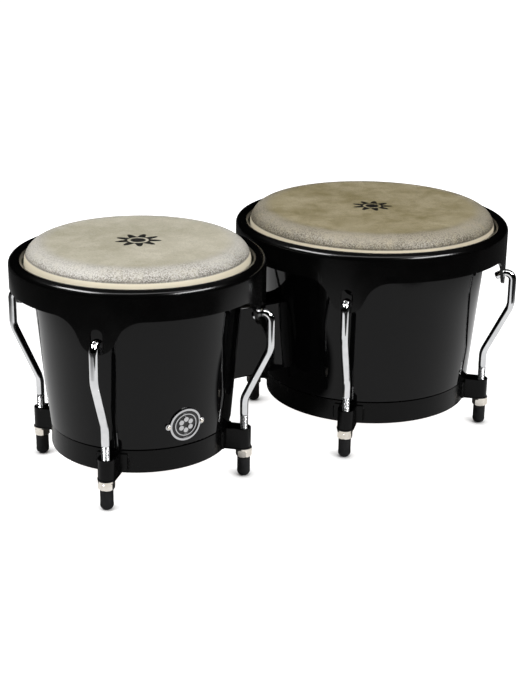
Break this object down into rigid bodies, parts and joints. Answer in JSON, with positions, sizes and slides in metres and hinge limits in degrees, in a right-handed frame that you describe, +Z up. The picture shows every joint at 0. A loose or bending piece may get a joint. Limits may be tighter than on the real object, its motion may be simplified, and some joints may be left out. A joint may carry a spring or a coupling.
{
  "type": "bongo drums",
  "caption": "Pair of bongo drums on a centre block: tapered shells, rawhide heads, rolled rims on cranked tuning hooks, rubber feet.",
  "frame": {"origin": "on the floor under the middle of the pair's bounding box", "axes": "+X from the small drum to the large drum, -Y the front with the badge, +Z up"},
  "size_m": [0.4228, 0.2238, 0.1816],
  "materials": {
    "lacquered_wood": "high-gloss black lacquer outside, bare wood inside",
    "black_steel": "satin black powder coat",
    "small_rawhide": "natural rawhide",
    "large_rawhide": "natural rawhide",
    "chrome": "polished chrome plate",
    "nickel_steel": "nickel plate",
    "zinc_steel": "zinc plate",
    "rubber": "matte",
    "badge_nickel": "satin nickel with black ground"
  },
  "bodies": {
    "drums": {"small_shell": "lacquered_wood", "small_head": "small_rawhide", "small_bottom_ring": "black_steel", "small_brackets": "black_steel", "small_washers": "nickel_steel", "small_backing_plate": "zinc_steel", "small_block_bolts": "zinc_steel", "small_block_inserts": "zinc_steel", "large_shell": "lacquered_wood", "large_head": "large_rawhide", "large_bottom_ring": "black_steel", "large_brackets": "black_steel", "large_washers": "nickel_steel", "large_backing_plate": "zinc_steel", "large_block_bolts": "zinc_steel", "large_block_inserts": "zinc_steel", "centre_block": "lacquered_wood", "badge": "badge_nickel", "badge_pins": "badge_nickel"},
    "small_rim_set": {"small_rim": "black_steel", "small_head_tuck": "small_rawhide", "small_flesh_hoop": "zinc_steel", "small_hook_back_right": "chrome", "small_tip_back_right": "rubber", "small_hook_back_left": "chrome", "small_tip_back_left": "rubber", "small_hook_front_left": "chrome", "small_tip_front_left": "rubber", "small_hook_front_right": "chrome", "small_tip_front_right": "rubber"},
    "small_nut_back_right": {"small_nut_back_right": "nickel_steel"},
    "small_nut_back_left": {"small_nut_back_left": "nickel_steel"},
    "small_nut_front_left": {"small_nut_front_left": "nickel_steel"},
    "small_nut_front_right": {"small_nut_front_right": "nickel_steel"},
    "large_rim_set": {"large_rim": "black_steel", "large_head_tuck": "large_rawhide", "large_flesh_hoop": "zinc_steel", "large_hook_back_right": "chrome", "large_tip_back_right": "rubber", "large_hook_back_left": "chrome", "large_tip_back_left": "rubber", "large_hook_front_left": "chrome", "large_tip_front_left": "rubber", "large_hook_front_right": "chrome", "large_tip_front_right": "rubber"},
    "large_nut_back_right": {"large_nut_back_right": "nickel_steel"},
    "large_nut_back_left": {"large_nut_back_left": "nickel_steel"},
    "large_nut_front_left": {"large_nut_front_left": "nickel_steel"},
    "large_nut_front_right": {"large_nut_front_right": "nickel_steel"}
  },
  "joints": [
    {"name": "small_tuning", "type": "slide", "parent": "drums", "child": "small_rim_set", "axis": [0, 0, -1], "range_m": [0, 0.006]},
    {"name": "small_nut_turn_back_right", "type": "hinge", "parent": "drums", "child": "small_nut_back_right", "pos_m": [-0.05717, 0.05827, 0.019], "axis": [0, 0, 1], "range_deg": [0, 1701]},
    {"name": "small_nut_turn_back_left", "type": "hinge", "parent": "drums", "child": "small_nut_back_left", "pos_m": [-0.1737, 0.05827, 0.019], "axis": [0, 0, 1], "range_deg": [0, 1701]},
    {"name": "small_nut_turn_front_left", "type": "hinge", "parent": "drums", "child": "small_nut_front_left", "pos_m": [-0.1737, -0.05827, 0.019], "axis": [0, 0, 1], "range_deg": [0, 1701]},
    {"name": "small_nut_turn_front_right", "type": "hinge", "parent": "drums", "child": "small_nut_front_right", "pos_m": [-0.05717, -0.05827, 0.019], "axis": [0, 0, 1], "range_deg": [0, 1701]},
    {"name": "large_tuning", "type": "slide", "parent": "drums", "child": "large_rim_set", "axis": [0, 0, -1], "range_m": [0, 0.006]},
    {"name": "large_nut_turn_back_right", "type": "hinge", "parent": "drums", "child": "large_nut_back_right", "pos_m": [0.16905, 0.06949, 0.019], "axis": [0, 0, 1], "range_deg": [0, 1701]},
    {"name": "large_nut_turn_back_left", "type": "hinge", "parent": "drums", "child": "large_nut_back_left", "pos_m": [0.03007, 0.06949, 0.019], "axis": [0, 0, 1], "range_deg": [0, 1701]},
    {"name": "large_nut_turn_front_left", "type": "hinge", "parent": "drums", "child": "large_nut_front_left", "pos_m": [0.03007, -0.06949, 0.019], "axis": [0, 0, 1], "range_deg": [0, 1701]},
    {"name": "large_nut_turn_front_right", "type": "hinge", "parent": "drums", "child": "large_nut_front_right", "pos_m": [0.16905, -0.06949, 0.019], "axis": [0, 0, 1], "range_deg": [0, 1701]}
  ],
  "couplings": [
    {"joint": "small_nut_turn_back_right", "follows": "small_tuning", "rad_per_m": 4947.4},
    {"joint": "small_nut_turn_back_left", "follows": "small_tuning", "rad_per_m": 4947.4},
    {"joint": "small_nut_turn_front_left", "follows": "small_tuning", "rad_per_m": 4947.4},
    {"joint": "small_nut_turn_front_right", "follows": "small_tuning", "rad_per_m": 4947.4},
    {"joint": "large_nut_turn_back_right", "follows": "large_tuning", "rad_per_m": 4947.4},
    {"joint": "large_nut_turn_back_left", "follows": "large_tuning", "rad_per_m": 4947.4},
    {"joint": "large_nut_turn_front_left", "follows": "large_tuning", "rad_per_m": 4947.4},
    {"joint": "large_nut_turn_front_right", "follows": "large_tuning", "rad_per_m": 4947.4}
  ]
}
